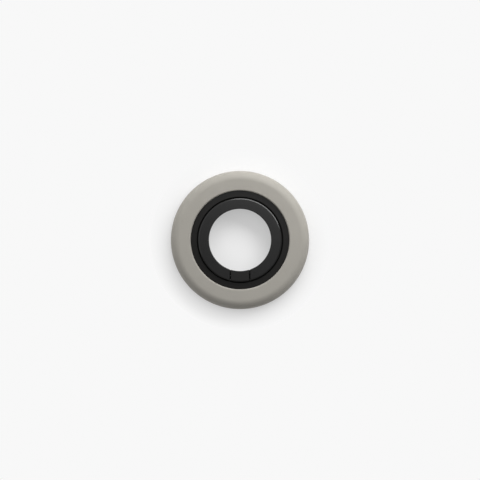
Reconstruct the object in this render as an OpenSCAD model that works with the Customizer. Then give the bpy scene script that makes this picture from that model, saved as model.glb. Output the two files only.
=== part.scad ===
// Magnetic phone holder: a soft ring on a ring of magnets, with a finger loop
// that turns on a swivel and folds up on a friction hinge.
// Millimetres. The origin is the middle of the face that lies on the phone,
// +Z points away from the phone and the hinge is on the -Y side.

/* [Soft ring] */
// Height from the phone to the top of the soft ring
holder_h = 7.4; // [7:0.1:9]
// Radius of the rounded outer edge
edge_r = 3.8; // [2.4:0.1:4.4]
// Radius of the small lip round the bezel
lip_r = 0.65; // [0.3:0.05:1]
// Radius of the lower outer edge
foot_r = 0.5; // [0.2:0.1:0.8]
// Wall of the soft ring
skin_t = 1.2; // [0.9:0.1:1.4]
// Gap between the soft ring's lower edge and the phone
skin_lift = 0.45; // [0.3:0.05:0.9]
// How far the soft ring's inner wall reaches below the bezel's face
skin_tuck = 1.1; // [0.6:0.1:1.3]
// Height of the captive lip at the soft ring's foot
skin_lip_t = 0.5; // [0.3:0.1:1]

/* [Finger loop] */
// Diameter of the finger hole
hole_d = 26.4; // [25.4:0.1:27]
// Radial width of the loop
loop_w = 4.5; // [4.2:0.05:4.8]
// Thickness of the loop
loop_t = 2.4; // [2.2:0.1:2.8]
// Depth of the loop's face below the top of the soft ring
loop_sink = 0.3; // [0:0.05:0.6]
// Radius of the loop's outer upper edge
loop_edge_r = 0.4; // [0.2:0.05:0.8]
// Radius of the loop's inner upper edge
loop_hole_r = 0.25; // [0.1:0.05:0.7]
// Radius of the loop's lower edges
loop_under_r = 0.35; // [0.2:0.05:0.5]
// Gap between the loop and the swivel that it lies on
loop_gap = 0.15; // [0.1:0.05:0.3]

/* [Hinge] */
// Width of the hinge block
block_w = 7.65; // [6:0.05:9]
// Slit between the hinge block and each end of the loop
slit_w = 0.5; // [0.43:0.01:0.6]
// Distance of the pin's axis below the loop's face
pin_depth = 1; // [0.9:0.05:1.1]
// Distance of the pin's axis inside the loop's outer edge
pin_inset = 1.95; // [1.8:0.05:2.3]
// Chamfer of the upper edges of the block and of the loop's ends
end_chamfer = 0.1; // [0.05:0.05:0.3]
// Diameter of the hinge pin
pin_d = 1; // [0.8:0.1:1.1]
// Length of the hinge pin
pin_len = 12.4; // [11.4:0.1:12.8]
// Radial clearance of the pin in the hinge block
pin_clear = 0.04; // [0.02:0.01:0.08]
// Radial clearance of the pin in the ends of the loop
pin_grip = 0.01; // [0.01:0.01:0.03]
// Outside diameter of the friction washers
washer_d = 1.5; // [1.3:0.05:1.7]
// Thickness of the friction washers
washer_t = 0.42; // [0.2:0.01:0.42]
// Clearance of the relief trough round the loop's turning ends
relief_clear = 0.2; // [0.1:0.05:0.3]

/* [Bezel] */
// Gap between the loop and the bezel
groove_w = 0.55; // [0.5:0.05:0.8]
// Radial width of the bezel's face
bezel_w = 2.65; // [2.3:0.05:2.9]
// Depth of the bezel's face below the loop's face
bezel_drop = 1.4; // [1.3:0.05:1.6]
// Chamfer of the bezel's bore
bezel_chamfer = 0.2; // [0.1:0.05:0.4]
// Height of the bezel's skirt above the shoulder
skirt_rise = 0.5; // [0.4:0.05:0.7]

/* [Swivel] */
// Radial gap between the swivel and the finger loop's hole
swivel_back = 0.2; // [0.1:0.05:0.4]
// Radial clearance of the swivel in the bezel
swivel_clear = 0.25; // [0.15:0.05:0.35]
// Radial width of the swivel's flange
flange_w = 1.6; // [1.2:0.1:1.8]
// Thickness of the swivel's flange
flange_t = 0.9; // [0.7:0.05:1.1]
// Lift of the swivel's lower face from the phone
swivel_lift = 0.7; // [0.5:0.05:1]
// Radial width of the swivel that shows in the base plate's hole
hub_step = 1; // [0.8:0.05:1.2]
// Running gap above and below the swivel's flange
run_gap = 0.05; // [0.05:0.01:0.1]
// Thickness of the glide washer
glide_t = 0.2; // [0.15:0.05:0.3]
// Height of the wave washer over its crests
wave_h = 0.4; // [0.3:0.05:0.6]
// Thickness of the wave washer's strip
wave_t = 0.15; // [0.1:0.01:0.2]
// Number of waves round the wave washer
wave_count = 3; // [3:1:5]

/* [Magnets] */
// Radial width of the ring of magnets
magnet_w = 4; // [3.6:0.1:4.4]
// Thickness of the magnets
magnet_t = 2; // [1.5:0.1:2.2]
// Chamfer of the magnets' edges
magnet_chamfer = 0.15; // [0.1:0.05:0.3]
// Number of magnets
magnet_count = 18; // [18:1:18]
// Web between neighbouring magnets
magnet_web = 0.4; // [0.3:0.05:0.6]
// Clearance round each magnet in its pocket
magnet_clear = 0.05; // [0.03:0.01:0.1]
// Thickness of the steel ring over the magnets
yoke_t = 0.5; // [0.3:0.05:0.6]

/* [Base plate and pad] */
// Thickness of the soft pad that lies on the phone
pad_t = 0.6; // [0.5:0.05:0.8]
// Depth of the pad's recess in the base plate
pad_recess = 0.35; // [0.2:0.05:0.45]
// Radial gap between the pad's inner edge and the base plate's hole
pad_in = 2.6; // [2.2:0.1:2.7]
// Radial gap between the pad's outer edge and the base plate's edge
pad_out = 0.5; // [0.3:0.05:0.9]
// Chamfer of the pad's edges
pad_chamfer = 0.15; // [0.1:0.05:0.3]
// Thickness of the base plate
plate_t = 1.1; // [1:0.05:1.3]
// Clearance between the base plate's hole and the swivel
plate_clear = 0.2; // [0.1:0.05:0.3]
// Thickness of the base plate under the magnets
floor_t = 0.45; // [0.35:0.05:0.6]
// Wall of the magnets' pockets
pocket_wall = 0.4; // [0.3:0.05:0.4]
// Depth of the steel ring's seat over the pockets' walls
pocket_drop = 0.1; // [0.05:0.05:0.3]

/* [Housing] */
// Thickness of the housing's roof
roof_t = 1.3; // [0.8:0.1:1.5]
// Radial width of the housing's inner wall
inner_wall = 0.7; // [0.5:0.05:0.9]
// Radial width of the housing's outer wall
outer_wall = 0.65; // [0.6:0.05:1]
// Width of the ribs that hold the magnets down
rib_w = 0.8; // [0.5:0.1:1.2]

/* [Screws] */
// Number of screws
screw_count = 6; // [4:1:8]
// Diameter of the screws
screw_d = 1.4; // [1.2:0.1:1.4]
// Diameter of the screws' heads
screw_head_d = 2.3; // [2.1:0.1:2.4]
// Length of the screws
screw_len = 2.3; // [1.8:0.1:2.4]
// Width across the corners of the screws' sockets
screw_socket = 0.9; // [0.6:0.1:1]
// Radial clearance of the screws in their holes
screw_clear = 0.02; // [0.01:0.01:0.05]

/* [Hidden] */
$fn = 128;
// Line of adhesive or bond between pieces that are fitted for good
bond = 0.05;
// How far a cutter reaches past the face that it cuts
over = 1;
// Overlap where two forms of one piece are joined
join = 0.2;
// Depth of a screw's socket as a share of the head's height
socket_share = 0.6;
// Points round the wave washer
wave_points = 72;
// Length of the relief trough past the loop's turning ends
trough_over = 0.6;

// Radii, from the finger hole outwards
hole_r = hole_d / 2;
loop_r = hole_r + loop_w;
bore_r = loop_r + groove_w;
bezel_r = bore_r + bezel_w;
swivel_r = bore_r - swivel_clear;
swivel_bore_r = hole_r + swivel_back;
flange_r = swivel_r + flange_w;
hub_r = swivel_r - hub_step;
plate_bore_r = hub_r + plate_clear;
pad_in_r = plate_bore_r + pad_in;
skin_in_r = bezel_r + bond;
housing_step_r = skin_in_r + skin_t + bond;
pocket_in_r = housing_step_r + inner_wall + bond;
magnet_in_r = pocket_in_r + magnet_clear;
magnet_out_r = magnet_in_r + magnet_w;
pocket_out_r = magnet_out_r + magnet_clear;
skirt_in_r = flange_r + swivel_clear;
skirt_r = pocket_in_r - pocket_wall - bond;
screw_r = (skirt_in_r + skirt_r) / 2;
housing_bore_r = pocket_out_r + pocket_wall + bond;
plate_r = housing_bore_r + outer_wall;
pad_out_r = plate_r - pad_out;
holder_r = plate_r + bond + skin_t;

// Heights, from the phone upwards
plate_z = pad_t - pad_recess;
plate_top = plate_z + plate_t;
magnet_z = pad_t + floor_t;
yoke_z = magnet_z + magnet_t;
yoke_top = yoke_z + yoke_t;
pocket_top = yoke_z - pocket_drop;
flange_z = plate_top + wave_h + run_gap;
flange_top = flange_z + flange_t;
glide_z = flange_top + run_gap;
shoulder_z = glide_z + glide_t;
skirt_top = shoulder_z + skirt_rise;
loop_top = holder_h - loop_sink;
loop_z = loop_top - loop_t;
swivel_top = loop_z - loop_gap;
bezel_top = loop_top - bezel_drop;
tuck_z = bezel_top - skin_tuck;
roof_top = holder_h - skin_t - bond;
roof_z = roof_top - roof_t;
skin_lip_z = plate_top + bond;
wall_z = skin_lip_z + skin_lip_t + bond;

// Hinge
pin_r = pin_d / 2;
pin_y = -(loop_r - pin_inset);
pin_z = loop_top - pin_depth;
loop_end_x = block_w / 2 + slit_w;
loop_end_y = -sqrt(pow(loop_r, 2) - pow(loop_end_x, 2));
turn_r = norm([loop_end_y - pin_y, loop_z - pin_z]);
trough_x = sqrt(pow(loop_r, 2) - pow(pin_y, 2)) + trough_over;
block_bore_r = pin_r + pin_clear;
loop_bore_r = pin_r + pin_grip;
washer_x = block_w / 2 + (slit_w - washer_t) / 2;

// Magnets and screws
magnet_step = 360 / magnet_count;
magnet_mid_r = (magnet_in_r + magnet_out_r) / 2;
web_angle = magnet_web / magnet_mid_r * 180 / PI;
screw_step = 360 / screw_count;
screw_head_h = (screw_head_d - screw_d) / 2;

function two_digits(n) = n < 10 ? str("0", n) : str(n);
MAGNETS = [for (i = [1 : magnet_count]) str("magnet_", two_digits(i))];

// What a round of radius r takes off a square corner. The corner is at "at",
// and "into" holds the two signs of the way from it into the piece.
module corner_waste(at, r, into) {
    centre = [at[0] + into[0] * r, at[1] + into[1] * r];
    difference() {
        translate([min(at[0], centre[0]), min(at[1], centre[1])]) square(r);
        translate(centre) circle(r);
    }
}

// Half-section of a plain ring
module ring_section(in_r, out_r, low, high) {
    translate([in_r, low]) square([out_r - in_r, high - low]);
}

// Half-section of a ring with a chamfer c on all four edges
module chamfered_section(in_r, out_r, low, high, c) {
    polygon([
        [in_r + c, low], [out_r - c, low], [out_r, low + c], [out_r, high - c],
        [out_r - c, high], [in_r + c, high], [in_r, high - c], [in_r, low + c]
    ]);
}

// Half-section of the soft ring's outer form, taken in by "inset"
module shell_section(inset, in_r, low) {
    difference() {
        ring_section(in_r, holder_r - inset, low, holder_h - inset);
        corner_waste([holder_r - inset, holder_h - inset], edge_r - inset, [-1, -1]);
    }
}

// Soft ring: a rounded skin round the housing, with a lip held under its wall
module soft_ring() {
    color([0.60, 0.59, 0.56]) rotate_extrude() {
        difference() {
            shell_section(0, skin_in_r, skin_lift);
            corner_waste([skin_in_r, holder_h], lip_r, [1, -1]);
            corner_waste([holder_r, skin_lift], foot_r, [-1, 1]);
            shell_section(skin_t, skin_in_r + skin_t, skin_lift - over);
            ring_section(skin_in_r - over, skin_in_r + skin_t + join, skin_lift - over, tuck_z);
        }
        ring_section(housing_bore_r + bond, holder_r - skin_t + join,
                     skin_lip_z, skin_lip_z + skin_lip_t);
    }
}

// Housing: a stiff ring under the skin, roofed over the magnets
module housing() {
    color([0.16, 0.16, 0.17]) {
        rotate_extrude() {
            difference() {
                shell_section(skin_t + bond, housing_step_r, wall_z);
                ring_section(housing_step_r - over, pocket_in_r, wall_z - over, skirt_top + bond);
                ring_section(pocket_in_r, housing_bore_r, wall_z - over, roof_z);
            }
            ring_section(skin_in_r, housing_step_r + join, skirt_top + bond, tuck_z - bond);
        }
        for (i = [0 : magnet_count - 1]) rotate([0, 0, (i + 0.5) * magnet_step])
            translate([pocket_in_r - join, -rib_w / 2, yoke_top])
                cube([housing_bore_r - pocket_in_r + 2 * join, rib_w, roof_z - yoke_top + join]);
    }
}

// Bezel: the dark collar in which the swivel turns
module bezel() {
    color([0.10, 0.10, 0.10]) difference() {
        rotate_extrude() polygon([
            [bore_r, shoulder_z], [skirt_in_r, shoulder_z],
            [skirt_in_r, plate_top], [skirt_r, plate_top],
            [skirt_r, skirt_top], [bezel_r, skirt_top],
            [bezel_r, bezel_top], [bore_r + bezel_chamfer, bezel_top],
            [bore_r, bezel_top - bezel_chamfer]
        ]);
        for (i = [0 : screw_count - 1]) rotate([0, 0, (i + 0.5) * screw_step])
            translate([screw_r, 0, plate_top - over])
                cylinder(r = screw_d / 2 + screw_clear,
                         h = over + pad_t + screw_len - plate_top + screw_clear);
    }
}

// Cutters of the base plate's countersunk holes
module screw_sinks() {
    for (i = [0 : screw_count - 1]) rotate([0, 0, (i + 0.5) * screw_step])
        translate([screw_r, 0, pad_t]) {
            cylinder(r1 = screw_head_d / 2 + screw_clear, r2 = screw_d / 2 + screw_clear,
                     h = screw_head_h);
            cylinder(r = screw_d / 2 + screw_clear, h = plate_t + over);
        }
}

// Base plate: closes the back and holds each magnet in a pocket
module base_plate() {
    color([0.12, 0.12, 0.13]) difference() {
        rotate_extrude() {
            ring_section(plate_bore_r, plate_r, plate_z, plate_top);
            ring_section(pocket_in_r - pocket_wall, pocket_out_r + pocket_wall,
                         plate_top - join, pocket_top);
        }
        for (i = [0 : magnet_count - 1]) rotate([0, 0, i * magnet_step + web_angle / 2])
            rotate_extrude(angle = magnet_step - web_angle)
                ring_section(pocket_in_r, pocket_out_r, magnet_z, pocket_top + over);
        rotate_extrude()
            ring_section(pad_in_r - bond, pad_out_r + bond, plate_z - over, pad_t);
        screw_sinks();
    }
}

// Back pad: the soft face that lies on the phone
module back_pad() {
    color([0.20, 0.20, 0.21]) rotate_extrude()
        chamfered_section(pad_in_r, pad_out_r, 0, pad_t, pad_chamfer);
}

// Yoke ring: the steel that turns the magnets' pull towards the phone
module yoke_ring() {
    color([0.62, 0.63, 0.65]) rotate_extrude()
        ring_section(magnet_in_r, magnet_out_r, yoke_z, yoke_top);
}

// One magnet of the ring, number i
module magnet(i) {
    side_angle = web_angle / 2 + magnet_clear / magnet_mid_r * 180 / PI;
    color([0.78, 0.78, 0.80]) rotate([0, 0, i * magnet_step + side_angle])
        rotate_extrude(angle = magnet_step - 2 * side_angle)
            chamfered_section(magnet_in_r, magnet_out_r, magnet_z, yoke_z, magnet_chamfer);
}

// Screws that hold the base plate to the bezel, all six in one node
module base_screws() {
    color([0.70, 0.70, 0.72])
        for (i = [0 : screw_count - 1]) rotate([0, 0, (i + 0.5) * screw_step])
            translate([screw_r, 0, pad_t]) difference() {
                rotate_extrude() polygon([
                    [0, 0], [screw_head_d / 2, 0], [screw_d / 2, screw_head_h],
                    [screw_d / 2, screw_len], [0, screw_len]
                ]);
                translate([0, 0, -over])
                    cylinder(d = screw_socket, h = over + screw_head_h * socket_share, $fn = 6);
            }
}

// Glide washer: plastic, between the swivel's flange and the bezel
module glide_washer() {
    color([0.90, 0.90, 0.88]) rotate_extrude()
        ring_section(bore_r + bond, flange_r, glide_z, shoulder_z);
}

// Height of the wave washer's lower face at angle a
function wave_low(a) = plate_top + (wave_h - wave_t) * (1 - cos(wave_count * a)) / 2;

// Wave washer: the spring that gives the swivel its drag
module wave_washer() {
    in_r = plate_bore_r + plate_clear;
    steps = [0 : wave_points - 1];
    corners = [for (i = steps) let (a = i * 360 / wave_points, low = wave_low(a))
        each [for (p = [[in_r, low], [flange_r, low], [flange_r, low + wave_t], [in_r, low + wave_t]])
            [p[0] * cos(a), p[0] * sin(a), p[1]]]];
    faces = [for (i = steps) let (here = 4 * i, next = 4 * ((i + 1) % wave_points))
        each [for (k = [0 : 3]) let (m = (k + 1) % 4)
            each [[here + k, here + m, next + m], [here + k, next + m, next + k]]]];
    color([0.66, 0.67, 0.70]) polyhedron(points = corners, faces = faces);
}

// Half-section of the loop's upper part, with its two rounded edges
module loop_section(low) {
    difference() {
        ring_section(hole_r, loop_r, low, loop_top);
        corner_waste([loop_r, loop_top], loop_edge_r, [-1, -1]);
        corner_waste([hole_r, loop_top], loop_hole_r, [1, -1]);
    }
}

// A slab on the hinge's side, as wide as "width", whose sides lean by 45 degrees
// over the last stretch below the loop's face: inwards, or outwards where "lean" is 1
module hinge_slab(width, lean) {
    side = width / 2;
    top_side = side + lean * (end_chamfer + over);
    translate([0, over, 0]) rotate([90, 0, 0]) linear_extrude(loop_r + 2 * over) polygon([
        [-side, 0], [side, 0], [side, loop_top - end_chamfer], [top_side, loop_top + over],
        [-top_side, loop_top + over], [-side, loop_top - end_chamfer]
    ]);
}

// Cylinder along the hinge's axis, between two places on X
module along_pin(from_x, to_x, r) {
    translate([from_x, pin_y, pin_z]) rotate([0, 90, 0]) cylinder(r = r, h = to_x - from_x);
}

// Swivel: turns in the bezel and carries the hinge block. The loop's ends
// turn down into its two relief troughs as the loop opens.
module swivel() {
    color([0.13, 0.13, 0.13]) difference() {
        union() {
            difference() {
                rotate_extrude() polygon([
                    [swivel_bore_r, swivel_lift], [hub_r, swivel_lift],
                    [hub_r, flange_z], [flange_r, flange_z],
                    [flange_r, flange_top], [swivel_r, flange_top],
                    [swivel_r, swivel_top], [swivel_bore_r, swivel_top]
                ]);
                for (side = [-1, 1]) scale([side, 1, 1])
                    along_pin(block_w / 2, trough_x, turn_r + relief_clear);
            }
            intersection() {
                rotate_extrude() loop_section(swivel_top - join);
                hinge_slab(block_w, -1);
            }
        }
        along_pin(-block_w, block_w, block_bore_r);
    }
}

// Finger loop: a broken ring whose two ends take the hinge pin. The pin goes
// in from the right, and its bore is blind on the left.
module finger_loop() {
    color([0.17, 0.17, 0.17]) difference() {
        rotate_extrude() difference() {
            loop_section(loop_z);
            corner_waste([loop_r, loop_z], loop_under_r, [-1, 1]);
            corner_waste([hole_r, loop_z], loop_under_r, [1, 1]);
        }
        hinge_slab(2 * loop_end_x, 1);
        along_pin(-pin_len / 2 - bond, loop_r, loop_bore_r);
    }
}

// Hinge pin: held by the loop's ends, and turns in the hinge block
module hinge_pin() {
    color([0.70, 0.71, 0.73]) along_pin(-pin_len / 2, pin_len / 2, pin_r);
}

// Friction washer on the pin, in the slit beside the hinge block
module friction_washer(side) {
    color([0.14, 0.14, 0.14]) scale([side, 1, 1]) difference() {
        along_pin(washer_x, washer_x + washer_t, washer_d / 2);
        along_pin(washer_x - over, washer_x + washer_t + over, block_bore_r);
    }
}

soft_ring();
housing();
bezel();
base_plate();
back_pad();
yoke_ring();
for (i = [0 : magnet_count - 1])
    magnet(i);
base_screws();
glide_washer();
wave_washer();
swivel();
finger_loop();
hinge_pin();
friction_washer(-1);  // friction_washer_left
friction_washer(1);  // friction_washer_right
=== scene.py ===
"""The finish of a magnetic phone holder: soft ring, bezel, swivel and finger loop.

The pieces keep the places and sizes of the plain solids. Lengths are in metres,
with +Z from the back towards the hand and the loop's hinge on the -Y side.
"""

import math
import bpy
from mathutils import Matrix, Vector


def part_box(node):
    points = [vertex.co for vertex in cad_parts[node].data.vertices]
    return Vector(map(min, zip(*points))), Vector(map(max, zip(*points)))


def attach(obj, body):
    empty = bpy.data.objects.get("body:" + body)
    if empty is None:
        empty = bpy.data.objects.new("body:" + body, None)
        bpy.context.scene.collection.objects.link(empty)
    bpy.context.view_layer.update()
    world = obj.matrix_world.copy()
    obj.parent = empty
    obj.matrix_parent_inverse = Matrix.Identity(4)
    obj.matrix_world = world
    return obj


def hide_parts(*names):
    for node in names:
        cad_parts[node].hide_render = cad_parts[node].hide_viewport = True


bl_info = {
    "name": "Magnetic Phone Holder",
    "version": (1, 0, 0),
    "blender": (4, 5, 0),
    "location": "View3D > Sidebar > Phone Holder",
    "description": "Builds the finished pieces of a magnetic phone holder with a finger loop",
    "category": "Add Mesh",
}

import bmesh
import bpy
from bpy.props import FloatProperty, FloatVectorProperty, PointerProperty
from bpy.types import Operator, Panel, PropertyGroup
from mathutils import Matrix, Vector

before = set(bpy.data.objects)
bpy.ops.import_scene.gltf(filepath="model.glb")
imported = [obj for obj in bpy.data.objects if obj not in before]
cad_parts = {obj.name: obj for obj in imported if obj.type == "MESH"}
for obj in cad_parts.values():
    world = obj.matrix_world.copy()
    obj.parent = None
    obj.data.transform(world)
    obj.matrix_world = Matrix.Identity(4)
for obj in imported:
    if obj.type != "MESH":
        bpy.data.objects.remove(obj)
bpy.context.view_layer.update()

MM = 0.001
FULL_TURN = 2 * math.pi

# Edges that fold by more than this stay sharp
CREASE = math.radians(32)
# Points closer than this become one when a piece is made
WELD = 0.0005 * MM
# Points closer than this become one after a piece is cut
CUT_WELD = 0.001 * MM
# How close to a cutting plane a point counts as on it
ON_PLANE = 1e-9
# Length of the steps round a rounding, and the fewest and most of them
ROUNDING_STEP = 0.18 * MM
ROUNDING_STEPS = (3, 20)
# Steps of the turned pieces
TURN_STEPS = 240
SKIN_STEPS = 288
LOOP_STEPS = 236
BLOCK_STEPS = 24
WASHER_STEPS = 64
# Sides of the pin with its bore, and of the troughs
ROD_SIDES = 64
TROUGH_SIDES = 96
# Angle that an open ring runs on past the plane that cuts it
OVERRUN = 0.05
# Roughness of the clear top layer on coated and rubbed black
TOP_LAYER = 0.18


def reach(node):
    """Outside radius of a round node, from its box."""
    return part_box(node)[1].x


def low(node):
    """Height of a node's lowest point."""
    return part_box(node)[0].z


def high(node):
    """Height of a node's highest point."""
    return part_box(node)[1].z


def length(name, description, default):
    """A length in metres that a user can set."""
    return FloatProperty(
        name=name, description=description, default=default, min=0.0, precision=5,
        subtype="DISTANCE", unit="LENGTH",
    )


def colour(name, description, default):
    """A colour in linear light that a user can set."""
    return FloatVectorProperty(
        name=name, description=description, default=default, size=3, min=0.0, max=1.0,
        subtype="COLOR",
    )


def angle(name, description, degrees):
    """An angle that a user can set, given here in degrees."""
    return FloatProperty(
        name=name, description=description, default=math.radians(degrees),
        subtype="ANGLE", unit="ROTATION",
    )


def level(name, description, default):
    """A plain number of light that a user can set."""
    return FloatProperty(name=name, description=description, default=default, min=0.0)


class SkinSizes(PropertyGroup):
    """Sizes of the soft ring."""

    edge: length("Edge", "Radius of the rounded outer edge", 3.8 * MM)
    lip: length("Lip", "Radius of the lip round the bezel", 0.65 * MM)
    foot: length("Foot", "Radius of the lower outer edge", 0.5 * MM)
    foot_inside: length("Foot inside", "Radius of the lower inner edge", 0.1 * MM)
    wall: length("Wall", "Thickness of the skin", 1.2 * MM)
    bond: length("Bond", "Gap between the skin and what it is moulded on", 0.05 * MM)
    tuck: length("Tuck", "Reach of the inner wall below the bezel's face", 1.1 * MM)
    hem: length("Hem", "Height of the captive lip at the foot", 0.5 * MM)
    hem_step: length("Hem step", "From the steel ring's edge out to the captive lip", 0.55 * MM)
    plate: length("Plate", "Thickness of the base plate", 1.1 * MM)
    pad: length("Pad", "Radial width of the back pad", 7.85 * MM)
    pad_edge: length("Pad edge", "Rounding of the back pad's edges", 0.15 * MM)


class CollarSizes(PropertyGroup):
    """Sizes of the bezel and of the swivel that turns in it."""

    groove: length("Groove", "Gap between the loop and the bezel", 0.55 * MM)
    face: length("Face", "Radial width of the bezel's face", 2.65 * MM)
    rise: length("Rise", "Height of the bezel's face over its skirt", 2.25 * MM)
    chamfer: length("Chamfer", "Chamfer of the bezel's bore", 0.2 * MM)
    clearance: length("Clearance", "Gap between the swivel and the bezel", 0.25 * MM)
    back: length("Back", "Step from the finger hole to the swivel's bore", 0.2 * MM)
    flange: length("Flange", "Radial width of the swivel's flange", 1.6 * MM)
    flange_t: length("Flange thickness", "Thickness of the swivel's flange", 0.9 * MM)
    slide: length("Slide", "From the flange up to the bezel's shoulder", 0.25 * MM)
    hub: length("Hub", "Step from the swivel's wall in to its hub", 1.0 * MM)
    floor_gap: length("Floor gap", "Gap between the loop and the swivel", 0.15 * MM)
    relief: length("Relief", "Clearance of the troughs for the loop's ends", 0.2 * MM)
    trough_over: length("Trough", "Length of the troughs past the loop's ends", 0.6 * MM)
    root: length("Root", "Depth of the hinge block's root in the swivel", 0.2 * MM)
    edge: length("Edge", "Rounding of the moulded edges", 0.12 * MM)


class LoopSizes(PropertyGroup):
    """Sizes of the finger loop and its hinge."""

    width: length("Width", "Radial width of the loop", 4.5 * MM)
    outer_edge: length("Outer edge", "Rounding under the outer facet", 0.1 * MM)
    facet: length("Facet", "Level width of the outer facet", 0.42 * MM)
    facet_drop: length("Facet drop", "Height of the facet", 0.21 * MM)
    facet_edge: length("Facet edge", "Rounding between the facet and the top", 0.05 * MM)
    inner_edge: length("Inner edge", "Radius of the inner upper edge", 0.25 * MM)
    under_edge: length("Under edge", "Radius of the lower edges", 0.35 * MM)
    block: length("Block", "Width of the hinge block", 7.65 * MM)
    slit: length("Slit", "Gap between the block and each end of the loop", 0.56 * MM)
    end_edge: length("End edge", "Rounding of the loop's ends and the block", 0.08 * MM)
    pin_gap: length("Pin gap", "Clearance of the pin in the block", 0.04 * MM)
    pin_grip: length("Pin grip", "Clearance of the pin in the loop's ends", 0.01 * MM)
    blind: length("Blind end", "From the pin's left end to the end of its bore", 0.05 * MM)
    pin_end: length("Pin end", "Chamfer of the pin's ends", 0.15 * MM)
    washer_gap: length("Washer gap", "Clearance of the washers' raised faces", 0.008 * MM)
    washer_face: length("Washer face", "Radial width of the washers' raised faces", 0.15 * MM)
    washer_edge: length("Washer edge", "Rounding of the washers' outer edges", 0.08 * MM)


class Finishes(PropertyGroup):
    """Colours of the finishes."""

    silicone: colour("Silicone", "Warm grey of the soft ring", (0.366, 0.349, 0.313))
    loop_coat: colour("Loop", "Black coat of the finger loop", (0.0085, 0.0085, 0.0085))
    moulded: colour("Moulded black", "Black of the bezel and swivel", (0.0062, 0.0057, 0.0051))
    friction: colour("Friction plastic", "Black of the friction washers", (0.004, 0.004, 0.004))
    pad: colour("Pad", "Dark grey of the back pad", (0.03, 0.03, 0.032))
    natural: colour("Natural plastic", "Off-white of the glide washer", (0.74, 0.73, 0.68))
    nickel: colour("Nickel", "Bright metal of the magnets", (0.56, 0.55, 0.53))
    zinc: colour("Zinc", "Plated steel of the yoke, spring and screws", (0.38, 0.39, 0.41))
    steel: colour("Steel", "Ground steel of the hinge pin", (0.45, 0.45, 0.46))


class StudioSettings(PropertyGroup):
    """Camera, lamps and floor."""

    distance: length("Camera distance", "Height of the camera over the holder", 2.0)
    field: length("Field", "Width of the view at the holder's back", 0.2046)
    sensor: FloatProperty(name="Sensor", description="Camera's sensor in millimetres", default=36.0)
    key_distance: length("Key distance", "From the holder to the key lamp", 0.3)
    key_width: length("Key width", "Level width of the key lamp", 0.38)
    key_depth: length("Key depth", "Upright width of the key lamp", 0.12)
    key_turn: angle("Key turn", "Direction of the key lamp, from +Y towards +X", 30)
    key_height: angle("Key height", "Angle of the key lamp above the floor", 35)
    key_level: level("Key level", "Light from the key lamp on a level surface", 0.6)
    fill_distance: length("Fill distance", "From the holder to the fill lamp", 1.2)
    fill_width: length("Fill width", "Level width of the fill lamp", 3.0)
    fill_depth: length("Fill depth", "Upright width of the fill lamp", 1.3)
    fill_turn: angle("Fill turn", "Direction of the fill lamp, from +Y towards +X", -50)
    fill_height: angle("Fill height", "Angle of the fill lamp above the floor", 30)
    fill_level: level("Fill level", "Light from the fill lamp on a level surface", 0.26)
    top_distance: length("Top distance", "From the holder to the top lamp", 0.3)
    top_width: length("Top width", "Level width of the top lamp", 0.14)
    top_depth: length("Top depth", "Upright width of the top lamp", 0.14)
    top_turn: angle("Top turn", "Direction of the top lamp, from +Y towards +X", 20)
    top_height: angle("Top height", "Angle of the top lamp above the floor", 75)
    top_level: level("Top level", "Light from the top lamp on a level surface", 0.046)
    sky_level: level("Sky level", "Even light from all round", 0.35)
    white: level("White", "How bright the background shows", 0.938)
    floor_lift: level("Floor lift", "Share of plain white in the floor by the holder", 0.42)
    shadow_end: length("Shadow end", "Where the floor begins to turn plain white", 0.029)
    white_start: length("White start", "From where the floor shows plain white only", 0.0385)
    floor: colour("Floor", "Colour of the floor", (0.93, 0.93, 0.93))
    floor_half: length("Floor half", "Half the width of the floor", 1.5)
    floor_gap: length("Floor gap", "From the holder down to the floor", 0.02 * MM)


SETTINGS = {
    "holder_skin": SkinSizes,
    "holder_collar": CollarSizes,
    "holder_loop": LoopSizes,
    "holder_finishes": Finishes,
    "holder_studio": StudioSettings,
}


# Shader expressions


class Value:
    """An output socket of a node that Python's operators can work with."""

    def __init__(self, shader, socket):
        self.shader = shader
        self.socket = socket

    def calculate(self, operation, first, second):
        """Adds a Math node for two values or numbers."""
        return self.shader.node("Math", {"operation": operation}, {0: first, 1: second})

    def __add__(self, other):
        return self.calculate("ADD", self, other)

    __radd__ = __add__

    def __sub__(self, other):
        return self.calculate("SUBTRACT", self, other)

    def __rsub__(self, other):
        return self.calculate("SUBTRACT", other, self)

    def __mul__(self, other):
        return self.calculate("MULTIPLY", self, other)

    __rmul__ = __mul__


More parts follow.
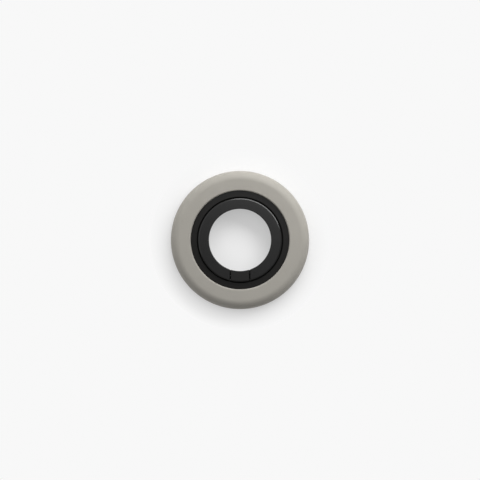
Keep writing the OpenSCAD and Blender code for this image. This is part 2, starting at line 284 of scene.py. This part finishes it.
class Shader:
    """A material built round one Principled shader."""

    def __init__(self, name):
        self.material = bpy.data.materials.new(name)
        self.material.use_nodes = True
        self.tree = self.material.node_tree
        self.tree.nodes.clear()
        self.surface = self.tree.nodes.new("ShaderNodeBsdfPrincipled")
        self.output = self.tree.nodes.new("ShaderNodeOutputMaterial")
        self.show(Value(self, self.surface.outputs["BSDF"]))
        self.place = self.node("TexCoord", {}, {}, "Object")

    def show(self, shown):
        """Links a shader to the material's output."""
        self.shown = shown
        self.feed(self.output.inputs["Surface"], shown)

    def node(self, kind, options, inputs, output=0):
        """Adds a node: its options first, then its sockets' values or links."""
        made = self.tree.nodes.new("ShaderNode" + kind)
        for key, value in options.items():
            setattr(made, key, value)
        for key, value in inputs.items():
            self.feed(made.inputs[key], value)
        return Value(self, made.outputs[output])

    def feed(self, socket, value):
        """Gives a socket a link or a constant."""
        if isinstance(value, Value):
            self.tree.links.new(value.socket, socket)
        else:
            socket.default_value = value

    def set(self, **values):
        """Sets the surface's sockets, named with _ for a space."""
        for key, value in values.items():
            self.feed(self.surface.inputs[key.replace("_", " ")], value)

    def noise(self, size, detail=2.0, roughness=0.5, place=None):
        """Noise from 0 to 1 with spots of about the given size in metres."""
        inputs = {"Scale": 1 / size, "Detail": detail, "Roughness": roughness}
        inputs["Vector"] = place or self.place
        return self.node("TexNoise", {"noise_dimensions": "3D"}, inputs, "Fac")

    def stretch(self, value, low_end, high_end, low_to=0.0, high_to=1.0):
        """Maps a value's range onto another, held at the ends."""
        inputs = {"From Min": low_end, "From Max": high_end, "To Min": low_to, "To Max": high_to}
        inputs["Value"] = value
        return self.node("MapRange", {"clamp": True}, inputs)

    def clouds(self, size, detail):
        """Soft clouds from 0 to 1, in which a finish varies a little."""
        return self.stretch(self.noise(size, detail), 0.3, 0.7)

    def mix(self, share, first, second):
        """Blends two colours."""
        return self.node(
            "Mix", {"data_type": "RGBA"}, {0: share, 6: rgba(first), 7: rgba(second)}, 2
        )

    def bump(self, height, depth, strength, below=None):
        """Turns a height from 0 to 1 into a normal, for a relief of the given depth."""
        inputs = {"Height": height, "Distance": depth, "Strength": strength}
        if below is not None:
            inputs["Normal"] = below
        return self.node("Bump", {}, inputs)


def rgba(value):
    """A colour's four channels, or the link that it already is."""
    return value if isinstance(value, Value) else (*value, 1.0)


def shade(base, amount):
    """A colour made lighter or darker by a share."""
    return tuple(channel * (1 + amount) for channel in base)


# Finishes


def silicone_finish(base):
    """Soft-touch silicone: matt, faintly clouded, with a fine pebbled skin."""
    shader = Shader("soft_touch_silicone")
    clouds = shader.clouds(9 * MM, detail=3.0)
    specks = shader.stretch(shader.noise(0.35 * MM), 0.35, 0.7)
    tint = shader.mix(clouds, shade(base, -0.018), shade(base, 0.018))
    tint = shader.mix(specks * 0.05, tint, shade(base, 0.25))
    grain = shader.noise(0.16 * MM, roughness=0.6)
    skin = shader.bump(shader.noise(0.6 * MM), depth=0.03 * MM, strength=0.5)
    shader.set(
        Base_Color=tint,
        Roughness=clouds * 0.05 + 0.6,
        Normal=shader.bump(grain, depth=0.013 * MM, strength=0.6, below=skin),
        Specular_IOR_Level=0.42,
    )
    return shader.material


def coat_finish(base):
    """Black satin coat on metal: fine blasted grain under a thin even coat."""
    shader = Shader("satin_black_coat")
    grain = shader.noise(0.09 * MM, roughness=0.6)
    clouds = shader.clouds(3 * MM, detail=3.0)
    shader.set(
        Base_Color=shader.mix(clouds, shade(base, -0.08), shade(base, 0.08)),
        Roughness=clouds * 0.05 + 0.4,
        Normal=shader.bump(grain, depth=0.006 * MM, strength=0.6),
        Specular_IOR_Level=0.15,
        Coat_Weight=0.75,
        Coat_Roughness=TOP_LAYER,
    )
    return shader.material


def moulded_finish(name, base, roughness, shine=0.5, rub=0.0):
    """Moulded plastic with the fine spark texture of its tool, rubbed smoother by a share."""
    shader = Shader(name)
    grain = shader.noise(0.14 * MM, detail=3.0, roughness=0.6)
    clouds = shader.clouds(4 * MM, detail=2.0)
    shader.set(
        Base_Color=shader.mix(clouds, shade(base, -0.06), shade(base, 0.06)),
        Roughness=clouds * 0.05 + roughness,
        Normal=shader.bump(grain, depth=0.009 * MM, strength=0.7),
        Specular_IOR_Level=shine,
        Coat_Weight=rub,
        Coat_Roughness=TOP_LAYER,
    )
    return shader.material


def pad_finish(base):
    """Grip pad: matt rubber with a tiny even pebble that holds on glass."""
    shader = Shader("grip_pad_rubber")
    pebble = 0.45 * MM
    cells = shader.node(
        "TexVoronoi", {"feature": "SMOOTH_F1"},
        {"Vector": shader.place, "Scale": 1 / pebble, "Smoothness": 0.4}, "Distance",
    )
    dust = shader.stretch(shader.noise(5 * MM, detail=4.0), 0.4, 0.75)
    shader.set(
        Base_Color=shader.mix(dust * 0.3, base, shade(base, 0.5)),
        Roughness=dust * 0.08 + 0.72,
        Normal=shader.bump(1 - cells, depth=0.03 * MM, strength=0.5),
        Specular_IOR_Level=0.35,
    )
    return shader.material


def plated_finish(name, base, roughness, streaks=False):
    """Plated or ground metal, with drawn streaks where it was rolled or ground."""
    shader = Shader(name)
    place = shader.place
    if streaks:
        place = shader.node("Mapping", {}, {"Vector": shader.place, "Scale": (0.06, 1.0, 1.0)})
    grain = shader.noise(0.12 * MM, detail=3.0, roughness=0.6, place=place)
    clouds = shader.clouds(2.5 * MM, detail=3.0)
    shader.set(
        Base_Color=shader.mix(clouds, shade(base, -0.07), shade(base, 0.07)),
        Metallic=1.0,
        Roughness=clouds * 0.08 + roughness,
        Normal=shader.bump(grain, depth=0.002 * MM, strength=0.5),
    )
    return shader.material


def floor_finish(studio):
    """The pale surface that the holder lies on, lifted to an even white where it is seen.

    Close to the holder the lift leaves its shadow, and far from it nothing but white shows.
    """
    shader = Shader("pale_floor")
    away = shader.node("VectorMath", {"operation": "LENGTH"}, {0: shader.place}, "Value")
    share = shader.stretch(away, studio.shadow_end, studio.white_start, studio.floor_lift)
    shader.set(Base_Color=rgba(studio.floor), Roughness=0.6, Specular_IOR_Level=0.0)
    seen = [
        shader.node("LightPath", {}, {}, "Is %s Ray" % kind)
        for kind in ("Camera", "Glossy", "Transmission")
    ]
    glow = shader.node("Emission", {}, {"Strength": studio.white}, "Emission")
    shader.show(shader.node(
        "MixShader", {}, {0: (seen[0] + seen[1] + seen[2]) * share, 1: shader.shown, 2: glow},
    ))
    return shader.material


# Mesh helpers


def smooth_shade(bm):
    """Shades the mesh smooth but for its sharp and open edges."""
    for face in bm.faces:
        face.smooth = True
    for edge in bm.edges:
        edge.smooth = edge.calc_face_angle(math.pi) < CREASE


def finish_mesh(name, bm, material):
    """Makes the piece: welded, faced outwards, and smooth but for its sharp edges."""
    bmesh.ops.remove_doubles(bm, verts=bm.verts, dist=WELD)
    bmesh.ops.recalc_face_normals(bm, faces=bm.faces)
    smooth_shade(bm)
    mesh = bpy.data.meshes.new(name)
    bm.to_mesh(mesh)
    bm.free()
    mesh.materials.append(material)
    piece = bpy.data.objects.new(name, mesh)
    bpy.context.scene.collection.objects.link(piece)
    return piece


def section(corners):
    """A flat face in the XZ plane from (radius, height, rounding) corners.

    Each corner is rounded to its own radius, and only the outline's edges are kept.
    """
    bm = bmesh.new()
    verts = [bm.verts.new((radius, 0, height)) for radius, height, rounding in corners]
    bm.faces.new(verts)
    for vert, (radius, height, rounding) in zip(verts, corners):
        if rounding > 0:
            fewest, most = ROUNDING_STEPS
            steps = max(fewest, min(most, round(rounding / ROUNDING_STEP)))
            bmesh.ops.bevel(
                bm, geom=[vert], offset=rounding, offset_type="OFFSET", segments=steps,
                profile=0.5, affect="VERTICES", material=-1, clamp_overlap=False,
            )
    bmesh.ops.delete(bm, geom=bm.faces[:], context="FACES_ONLY")
    return bm


def turned(corners, steps=TURN_STEPS, start=0.0, sweep=FULL_TURN):
    """A section spun round Z, all the way or from one angle through a sweep."""
    bm = section(corners)
    bmesh.ops.rotate(bm, verts=bm.verts, cent=(0, 0, 0), matrix=Matrix.Rotation(start, 3, "Z"))
    bmesh.ops.spin(
        bm, geom=bm.verts[:] + bm.edges[:], cent=(0, 0, 0), axis=(0, 0, 1), dvec=(0, 0, 0),
        angle=sweep, steps=steps, use_merge=sweep == FULL_TURN, use_duplicate=False,
    )
    return bm


def trim(bm, geometry, x, towards):
    """Cuts some geometry at a plane across X, keeps one side and closes the cut.

    "towards" is 1 to keep the side of greater X, and -1 for the other. Gives the new faces.
    """
    cut = bmesh.ops.bisect_plane(
        bm, geom=geometry, plane_co=(x, 0, 0), plane_no=(towards, 0, 0), dist=ON_PLANE,
        clear_inner=True, clear_outer=False,
    )
    edges = [item for item in cut["geom_cut"] if isinstance(item, bmesh.types.BMEdge)]
    return bmesh.ops.holes_fill(bm, edges=edges, sides=0)["faces"]


def soften(bm, faces, offset):
    """Rounds the outline of some flat faces."""
    edges = {edge for face in faces for edge in face.edges}
    bmesh.ops.bevel(
        bm, geom=list(edges), offset=offset, offset_type="OFFSET", segments=2,
        profile=0.5, affect="EDGES", material=-1, clamp_overlap=True,
    )


def rod(radius, from_x, to_x, centre, chamfer=0.0, sides=ROD_SIDES):
    """A rod along X between two places, with chamfered ends where asked."""
    bm = bmesh.new()
    made = bmesh.ops.create_cone(
        bm, cap_ends=True, cap_tris=False, segments=sides, radius1=radius, radius2=radius,
        depth=to_x - from_x,
    )
    bmesh.ops.rotate(
        bm, verts=made["verts"], cent=(0, 0, 0), matrix=Matrix.Rotation(math.pi / 2, 3, "Y")
    )
    middle = Vector(((from_x + to_x) / 2, centre[1], centre[2]))
    bmesh.ops.translate(bm, verts=made["verts"], vec=middle)
    if chamfer > 0:
        caps = [face for face in bm.faces if len(face.verts) == sides]
        soften(bm, caps, chamfer)
    return bm


def boolean(piece, other, operation):
    """Joins, cuts or crosses two closed pieces, and keeps the result in the first."""
    modifier = piece.modifiers.new("shape", "BOOLEAN")
    modifier.operation = operation
    modifier.solver = "EXACT"
    modifier.object = other
    graph = bpy.context.evaluated_depsgraph_get()
    shaped = bpy.data.meshes.new_from_object(piece.evaluated_get(graph))
    piece.modifiers.remove(modifier)
    piece.data = shaped
    bpy.data.objects.remove(other)


def clean_cuts(piece):
    """Welds a piece after it was cut, and sets its sharp edges anew."""
    bm = bmesh.new()
    bm.from_mesh(piece.data)
    bmesh.ops.remove_doubles(bm, verts=bm.verts, dist=CUT_WELD)
    smooth_shade(bm)
    bm.to_mesh(piece.data)
    bm.free()


def seat(piece, node, body):
    """Rides the piece on its body in a node's place, and hides the node.

    Normals weighted by area keep the flat faces flat beside the rounded edges.
    """
    piece.modifiers.new("normals", "WEIGHTED_NORMAL").keep_sharp = True
    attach(piece, body)
    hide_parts(node)


def dress(material, *nodes):
    """Gives carried-over nodes their finish."""
    for node in nodes:
        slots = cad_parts[node].data.materials
        slots.clear()
        slots.append(material)


def settings(context, *names):
    """The named groups of settings, in the order of the names."""
    return [getattr(context.scene, "holder_" + name) for name in names]


# Measures that several pieces share


class Measures:
    """Radii and heights worked out from the frame and the settings.

    turn_r is how far the lowest outer corner of the loop's ends is from the pin.
    """

    def __init__(self, context):
        collar, loop = settings(context, "collar", "loop")
        self.loop_r = reach("finger_loop")
        self.hole_r = self.loop_r - loop.width
        self.loop_top = high("finger_loop")
        self.loop_low = low("finger_loop")
        self.bore_r = self.loop_r + collar.groove
        self.bezel_r = self.bore_r + collar.face
        self.swivel_r = self.bore_r - collar.clearance
        self.swivel_bore_r = self.hole_r + collar.back
        self.floor_z = self.loop_low - collar.floor_gap
        self.end_x = loop.block / 2 + loop.slit
        pin_low, pin_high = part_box("hinge_pin")
        self.pin_r = (pin_high.z - pin_low.z) / 2
        self.pin = (pin_low + pin_high) / 2
        self.pin_x = pin_high.x
        end_y = -math.sqrt(self.loop_r ** 2 - self.end_x ** 2)
        self.turn_r = math.hypot(end_y - self.pin.y, self.loop_low - self.pin.z)


# Pieces


class HOLDER_OT_soft_ring(Operator):
    """Build the soft ring, the grey skin round the holder"""

    bl_idname = "holder.soft_ring"
    bl_label = "Soft Ring"

    def execute(self, context):
        skin, finishes = settings(context, "skin", "finishes")
        size = Measures(context)
        outside, top, foot = reach("soft_ring"), high("soft_ring"), low("soft_ring")
        inside = size.bezel_r + skin.bond
        tuck = high("bezel") - skin.tuck
        hem_low = low("base_plate") + skin.plate + skin.bond
        hem_high = hem_low + skin.hem
        hem_in = reach("yoke_ring") + skin.hem_step
        wall_r = outside - skin.wall
        piece = finish_mesh(
            "soft_ring_skin",
            turned([
                (inside, tuck, 0.0),
                (inside, top, skin.lip),
                (outside, top, skin.edge),
                (outside, foot, skin.foot),
                (wall_r, foot, skin.foot_inside),
                (wall_r, hem_low, 0.0),
                (hem_in, hem_low, 0.0),
                (hem_in, hem_high, 0.0),
                (wall_r, hem_high, 0.0),
                (wall_r, top - skin.wall, skin.edge - skin.wall),
                (inside + skin.wall, top - skin.wall, 0.0),
                (inside + skin.wall, tuck, 0.0),
            ], SKIN_STEPS),
            silicone_finish(finishes.silicone),
        )
        seat(piece, "soft_ring", "base")
        return {"FINISHED"}


class HOLDER_OT_bezel(Operator):
    """Build the bezel, the black collar inside the soft ring"""

    bl_idname = "holder.bezel"
    bl_label = "Bezel"

    def execute(self, context):
        collar, finishes = settings(context, "collar", "finishes")
        size = Measures(context)
        top, bottom = high("bezel"), low("bezel")
        skirt_r = reach("bezel")
        shoulder = high("glide_washer")
        skirt_in = size.swivel_r + collar.flange + collar.clearance
        skirt_top = top - collar.rise
        piece = finish_mesh(
            "bezel_collar",
            turned([
                (size.bore_r, shoulder, 0.0),
                (skirt_in, shoulder, 0.0),
                (skirt_in, bottom, 0.0),
                (skirt_r, bottom, collar.edge),
                (skirt_r, skirt_top, collar.edge),
                (size.bezel_r, skirt_top, 0.0),
                (size.bezel_r, top, collar.edge),
                (size.bore_r, top, collar.chamfer),
            ]),
            moulded_finish(
                "satin_black_bezel", finishes.moulded, roughness=0.4, shine=0.12, rub=0.55
            ),
        )
        seat(piece, "bezel", "base")
        return {"FINISHED"}


class HOLDER_OT_back_pad(Operator):
    """Build the back pad, the soft ring that the holder lies on"""

    bl_idname = "holder.back_pad"
    bl_label = "Back Pad"

    def execute(self, context):
        skin, finishes = settings(context, "skin", "finishes")
        outside, top = reach("back_pad"), high("back_pad")
        inside = outside - skin.pad
        piece = finish_mesh(
            "back_pad_rubber",
            turned([
                (inside, 0, skin.pad_edge),
                (inside, top, skin.pad_edge),
                (outside, top, skin.pad_edge),
                (outside, 0, skin.pad_edge),
            ]),
            pad_finish(finishes.pad),
        )
        seat(piece, "back_pad", "base")
        return {"FINISHED"}


class HOLDER_OT_swivel(Operator):
    """Build the swivel with its hinge block and relief troughs"""

    bl_idname = "holder.swivel"
    bl_label = "Swivel"

    def execute(self, context):
        collar, loop, finishes = settings(context, "collar", "loop", "finishes")
        size = Measures(context)
        bottom = low("swivel")
        flange_r = reach("swivel")
        flange_top = high("glide_washer") - collar.slide
        flange_low = flange_top - collar.flange_t
        hub_r = size.swivel_r - collar.hub
        material = moulded_finish(
            "satin_black_swivel", finishes.moulded, roughness=0.46, shine=0.42
        )
        piece = finish_mesh(
            "swivel_turntable",
            turned([
                (size.swivel_bore_r, bottom, collar.edge),
                (hub_r, bottom, collar.edge),
                (hub_r, flange_low, 0.0),
                (flange_r, flange_low, collar.edge),
                (flange_r, flange_top, collar.edge),
                (size.swivel_r, flange_top, 0.0),
                (size.swivel_r, size.floor_z, collar.edge),
                (size.swivel_bore_r, size.floor_z, collar.edge),
            ]),
            material,
        )
        trough_r = size.turn_r + collar.relief
        far_x = math.sqrt(size.loop_r ** 2 - size.pin.y ** 2) + collar.trough_over
        for side in (-1, 1):
            ends = sorted((side * loop.block / 2, side * far_x))
            cutter = rod(trough_r, *ends, size.pin, sides=TROUGH_SIDES)
            boolean(piece, finish_mesh("trough", cutter, material), "DIFFERENCE")
        boolean(piece, hinge_block(size, collar, loop, material), "UNION")
        cutter = rod(size.pin_r + loop.pin_gap, -loop.block, loop.block, size.pin)
        boolean(piece, finish_mesh("bore", cutter, material), "DIFFERENCE")
        clean_cuts(piece)
        seat(piece, "swivel", "turntable")
        return {"FINISHED"}


def loop_corners(size, loop, bottom, under):
    """Corners of the loop's section, down to a given height."""
    return [
        (size.hole_r, bottom, under),
        (size.loop_r, bottom, under),
        (size.loop_r, size.loop_top - loop.facet_drop, loop.outer_edge),
        (size.loop_r - loop.facet, size.loop_top, loop.facet_edge),
        (size.hole_r, size.loop_top, loop.inner_edge),
    ]


def hinge_block(size, collar, loop, material):
    """The hinge block: a slice of the loop's own section between two planes."""
    wide = math.asin(loop.block / 2 / size.hole_r) + OVERRUN
    bm = turned(
        loop_corners(size, loop, size.floor_z - collar.root, 0.0), BLOCK_STEPS,
        -math.pi / 2 - wide, 2 * wide,
    )
    faces = []
    for side in (-1, 1):
        geometry = bm.verts[:] + bm.edges[:] + bm.faces[:]
        faces += trim(bm, geometry, side * loop.block / 2, -side)
    soften(bm, faces, loop.end_edge)
    return finish_mesh("block", bm, material)


class HOLDER_OT_finger_loop(Operator):
    """Build the finger loop, broken for the hinge and bored for its pin"""

    bl_idname = "holder.finger_loop"
    bl_label = "Finger Loop"

    def execute(self, context):
        loop, finishes = settings(context, "loop", "finishes")
        size = Measures(context)
        short = math.asin(size.end_x / size.loop_r) - OVERRUN
        bm = turned(
            loop_corners(size, loop, size.loop_low, loop.under_edge), LOOP_STEPS,
            -math.pi / 2 + short, FULL_TURN - 2 * short,
        )
        soften(bm, cut_ends(bm, size.end_x), loop.end_edge)
        material = coat_finish(finishes.loop_coat)
        piece = finish_mesh("finger_loop_ring", bm, material)
        bore_r = size.pin_r + loop.pin_grip
        cutter = rod(bore_r, -size.pin_x - loop.blind, size.loop_r, size.pin)
        boolean(piece, finish_mesh("bore", cutter, material), "DIFFERENCE")
        clean_cuts(piece)
        seat(piece, "finger_loop", "loop")
        return {"FINISHED"}


def cut_ends(bm, end_x):
    """Cuts both ends of the open ring at planes beside the hinge block.

    Only the quarter with the end is cut, so the plane leaves the ring's far side whole.
    """
    faces = []
    for side in (-1, 1):
        verts = [vert for vert in bm.verts if vert.co.y < 0 and vert.co.x * side > 0]
        near = set(verts)
        edges = [edge for edge in bm.edges if near.issuperset(edge.verts)]
        patch = [face for face in bm.faces if near.issuperset(face.verts)]
        faces += trim(bm, verts + edges + patch, side * end_x, side)
    return faces


class HOLDER_OT_hinge_pin(Operator):
    """Build the hinge pin with its chamfered ends"""

    bl_idname = "holder.hinge_pin"
    bl_label = "Hinge Pin"

    def execute(self, context):
        loop, finishes = settings(context, "loop", "finishes")
        size = Measures(context)
        piece = finish_mesh(
            "hinge_pin_ground",
            rod(size.pin_r, -size.pin_x, size.pin_x, size.pin, loop.pin_end),
            plated_finish("ground_steel", finishes.steel, roughness=0.22, streaks=True),
        )
        seat(piece, "hinge_pin", "loop")
        return {"FINISHED"}


class HOLDER_OT_friction_washers(Operator):
    """Build the two washers in the slits, with raised faces round the pin"""

    bl_idname = "holder.friction_washers"
    bl_label = "Friction Washers"

    def execute(self, context):
        loop, finishes = settings(context, "loop", "finishes")
        size = Measures(context)
        material = moulded_finish(
            "dark_friction_plastic", finishes.friction, roughness=0.8, shine=0.05
        )
        bore_r = size.pin_r + loop.pin_gap
        face_r = bore_r + loop.washer_face
        face_x = loop.slit / 2 - loop.washer_gap
        middle_x = (loop.block + loop.slit) / 2
        along_x = Matrix.Rotation(math.pi / 2, 4, "Y")
        for side, x in (("left", -middle_x), ("right", middle_x)):
            node = "friction_washer_" + side
            near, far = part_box(node)
            outside, half = (far.z - near.z) / 2, (far.x - near.x) / 2
            bm = turned([
                (bore_r, -face_x, 0.0),
                (face_r, -face_x, 0.0),
                (face_r, -half, 0.0),
                (outside, -half, loop.washer_edge),
                (outside, half, loop.washer_edge),
                (face_r, half, 0.0),
                (face_r, face_x, 0.0),
                (bore_r, face_x, 0.0),
            ], WASHER_STEPS)
            place = Matrix.Translation((x, size.pin.y, size.pin.z))
            bmesh.ops.transform(bm, matrix=place @ along_x, verts=bm.verts)
            piece = finish_mesh(node + "_moulded", bm, material)
            seat(piece, node, "loop")
        return {"FINISHED"}


class HOLDER_OT_inner_pieces(Operator):
    """Give the pieces inside the holder their finishes"""

    bl_idname = "holder.inner_pieces"
    bl_label = "Inner Pieces"

    def execute(self, context):
        finishes = context.scene.holder_finishes
        black = moulded_finish("spark_black_moulding", finishes.moulded, roughness=0.52)
        zinc = plated_finish("zinc_plated_steel", finishes.zinc, roughness=0.34)
        nickel = plated_finish("nickel_plate", finishes.nickel, roughness=0.16)
        spring = plated_finish("bright_spring_strip", finishes.zinc, roughness=0.24, streaks=True)
        slide = moulded_finish("natural_slide_plastic", finishes.natural, roughness=0.4)
        magnets = [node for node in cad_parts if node.startswith("magnet_")]
        dress(black, "housing", "base_plate")
        dress(zinc, "yoke_ring", "base_screws")
        dress(nickel, *magnets)
        dress(spring, "wave_washer")
        dress(slide, "glide_washer")
        return {"FINISHED"}


def add_lamp(scene, studio, name):
    """Adds a flat lamp that looks at the holder, and lights a level surface by its level."""
    keys = ("distance", "width", "depth", "turn", "height", "level")
    distance, width, depth, turn, height, light = [
        getattr(studio, name + "_" + key) for key in keys
    ]
    lamp = bpy.data.lights.new(name, "AREA")
    lamp.shape = "RECTANGLE"
    lamp.size = width
    lamp.size_y = depth
    lamp.energy = light * math.pi ** 2 * distance ** 2 / math.sin(height)
    flat = distance * math.cos(height)
    place = Vector((flat * math.sin(turn), flat * math.cos(turn), distance * math.sin(height)))
    stand = bpy.data.objects.new(name, lamp)
    stand.location = place
    stand.rotation_euler = place.to_track_quat("Z", "Y").to_euler()
    stand.visible_camera = False
    scene.collection.objects.link(stand)


def add_even_light(scene, sky_level, white):
    """Adds a world that lights evenly from all round and shows plain white."""
    world = bpy.data.worlds.new("even_light")
    scene.world = world
    world.use_nodes = True
    tree = world.node_tree
    tree.nodes.clear()
    output = tree.nodes.new("ShaderNodeOutputWorld")
    seen = tree.nodes.new("ShaderNodeBackground")
    light = tree.nodes.new("ShaderNodeBackground")
    choice = tree.nodes.new("ShaderNodeMixShader")
    path = tree.nodes.new("ShaderNodeLightPath")
    light.inputs["Strength"].default_value = sky_level
    seen.inputs["Strength"].default_value = white
    tree.links.new(path.outputs["Is Camera Ray"], choice.inputs["Fac"])
    tree.links.new(light.outputs[0], choice.inputs[1])
    tree.links.new(seen.outputs[0], choice.inputs[2])
    tree.links.new(choice.outputs[0], output.inputs["Surface"])


class HOLDER_OT_studio(Operator):
    """Set up the camera, the lamps, the even light and the pale floor"""

    bl_idname = "holder.studio"
    bl_label = "Studio"

    def execute(self, context):
        scene = context.scene
        studio = scene.holder_studio
        scene.view_settings.view_transform = "Standard"

        camera = bpy.data.cameras.new("camera")
        camera.sensor_width = studio.sensor
        camera.lens = studio.sensor * studio.distance / studio.field
        camera.clip_end = 10 * studio.distance
        eye = bpy.data.objects.new("camera", camera)
        eye.location = (0, 0, studio.distance)
        scene.collection.objects.link(eye)
        scene.camera = eye

        for name in ("key", "fill", "top"):
            add_lamp(scene, studio, name)
        add_even_light(scene, studio.sky_level, studio.white)

        bm = bmesh.new()
        bmesh.ops.create_grid(
            bm, x_segments=1, y_segments=1, size=studio.floor_half,
            matrix=Matrix.Translation((0, 0, -studio.floor_gap)),
        )
        floor = finish_mesh("floor", bm, floor_finish(studio))
        return {"FINISHED"}


class HOLDER_PT_panel(Panel):
    """Lists the pieces of the holder"""

    bl_idname = "HOLDER_PT_panel"
    bl_label = "Phone Holder"
    bl_space_type = "VIEW_3D"
    bl_region_type = "UI"
    bl_category = "Phone Holder"

    def draw(self, context):
        layout = self.layout
        for operator in OPERATORS:
            layout.operator(operator.bl_idname)
        for name, group in SETTINGS.items():
            box = layout.box()
            box.label(text=group.__doc__)
            for key in group.__annotations__:
                box.prop(getattr(context.scene, name), key)


OPERATORS = [
    HOLDER_OT_studio,
    HOLDER_OT_soft_ring,
    HOLDER_OT_bezel,
    HOLDER_OT_back_pad,
    HOLDER_OT_swivel,
    HOLDER_OT_finger_loop,
    HOLDER_OT_hinge_pin,
    HOLDER_OT_friction_washers,
    HOLDER_OT_inner_pieces,
]


def register():
    for group in SETTINGS.values():
        bpy.utils.register_class(group)
    for operator in OPERATORS:
        bpy.utils.register_class(operator)
    bpy.utils.register_class(HOLDER_PT_panel)
    for name, group in SETTINGS.items():
        setattr(bpy.types.Scene, name, PointerProperty(type=group))


def unregister():
    for name in SETTINGS:
        delattr(bpy.types.Scene, name)
    bpy.utils.unregister_class(HOLDER_PT_panel)
    for operator in reversed(OPERATORS):
        bpy.utils.unregister_class(operator)
    for group in reversed(list(SETTINGS.values())):
        bpy.utils.unregister_class(group)


def main():
    register()
    bpy.ops.holder.studio()
    bpy.ops.holder.soft_ring()
    bpy.ops.holder.bezel()
    bpy.ops.holder.back_pad()
    bpy.ops.holder.swivel()
    bpy.ops.holder.finger_loop()
    bpy.ops.holder.hinge_pin()
    bpy.ops.holder.friction_washers()
    bpy.ops.holder.inner_pieces()


if __name__ == "__main__":
    main()
